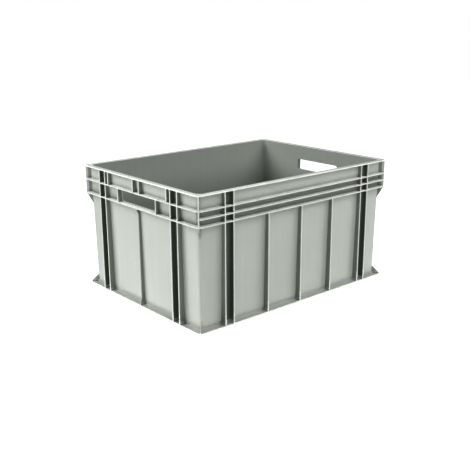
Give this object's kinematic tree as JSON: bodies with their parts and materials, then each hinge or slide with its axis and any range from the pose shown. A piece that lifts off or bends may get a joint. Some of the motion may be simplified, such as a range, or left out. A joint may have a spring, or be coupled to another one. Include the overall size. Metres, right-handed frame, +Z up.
{
  "type": "stacking storage crate",
  "caption": "Rigid open-top stacking crate of light grey plastic with a ribbed rim band, hand holes in both ends, ribbed drafted walls and a flared base flange.",
  "frame": {"origin": "on the ground under the middle of the crate, at the underside of the stacking foot", "axes": "+X along the long sides, +Y from the front long side to the rear one, +Z up out of the open top"},
  "size_m": [0.8, 0.6, 0.41],
  "materials": {
    "crate_plastic": "satin moulded polypropylene, light grey with a slight green cast"
  },
  "bodies": {
    "root": {"floor_panel": "crate_plastic", "stacking_foot": "crate_plastic", "base_flange": "crate_plastic", "top_rim": "crate_plastic", "long_wall_front": "crate_plastic", "long_wall_rear": "crate_plastic", "end_wall_left": "crate_plastic", "end_wall_right": "crate_plastic", "corner_wall_front_left": "crate_plastic", "corner_wall_front_right": "crate_plastic", "corner_wall_rear_right": "crate_plastic", "corner_wall_rear_left": "crate_plastic", "rim_corner_front_left": "crate_plastic", "rim_corner_front_right": "crate_plastic", "rim_corner_rear_right": "crate_plastic", "rim_corner_rear_left": "crate_plastic", "foot_gusset_front_left": "crate_plastic", "foot_gusset_front_right": "crate_plastic", "foot_gusset_rear_right": "crate_plastic", "foot_gusset_rear_left": "crate_plastic", "rim_band_front": "crate_plastic", "rim_band_rear": "crate_plastic", "rim_band_left": "crate_plastic", "rim_band_right": "crate_plastic", "wall_rib_front_1": "crate_plastic", "wall_rib_front_2": "crate_plastic", "wall_rib_front_3": "crate_plastic", "wall_rib_front_4": "crate_plastic", "wall_rib_front_5": "crate_plastic", "wall_rib_front_6": "crate_plastic", "wall_rib_front_7": "crate_plastic", "wall_rib_rear_1": "crate_plastic", "wall_rib_rear_2": "crate_plastic", "wall_rib_rear_3": "crate_plastic", "wall_rib_rear_4": "crate_plastic", "wall_rib_rear_5": "crate_plastic", "wall_rib_rear_6": "crate_plastic", "wall_rib_rear_7": "crate_plastic", "wall_rib_left_1": "crate_plastic", "wall_rib_left_2": "crate_plastic", "wall_rib_left_3": "crate_plastic", "wall_rib_left_4": "crate_plastic", "wall_rib_left_5": "crate_plastic", "wall_rib_right_1": "crate_plastic", "wall_rib_right_2": "crate_plastic", "wall_rib_right_3": "crate_plastic", "wall_rib_right_4": "crate_plastic", "wall_rib_right_5": "crate_plastic"}
  },
  "joints": []
}
